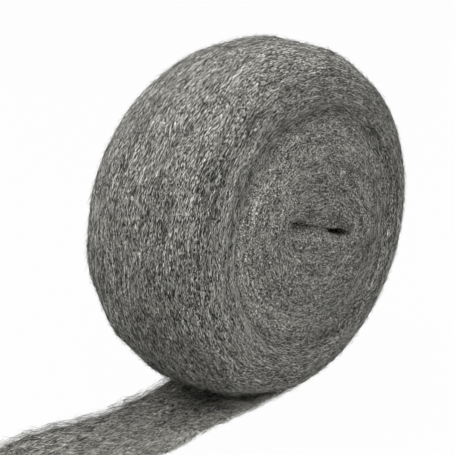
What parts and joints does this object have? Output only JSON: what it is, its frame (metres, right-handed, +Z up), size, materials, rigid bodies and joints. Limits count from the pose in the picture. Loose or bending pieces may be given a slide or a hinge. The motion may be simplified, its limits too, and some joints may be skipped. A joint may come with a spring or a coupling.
{
  "type": "steel wool roll",
  "caption": "Coreless roll of steel wool standing on its rim, its ribbon wound round a closed slot, with a loose end lying flat on the floor.",
  "frame": {"origin": "on the floor, in the middle of the flat that the roll's weight presses into its underside", "axes": "+Z up; the roll's axis lies along Y and its front end faces -Y; the loose end runs out along -X"},
  "size_m": [0.3344, 0.1012, 0.2162],
  "materials": {
    "steel_wool": "fine loose steel fibre, dull grey in the mass, with bright strands"
  },
  "bodies": {
    "root": {"steel_wool_roll": "steel_wool"}
  },
  "joints": []
}
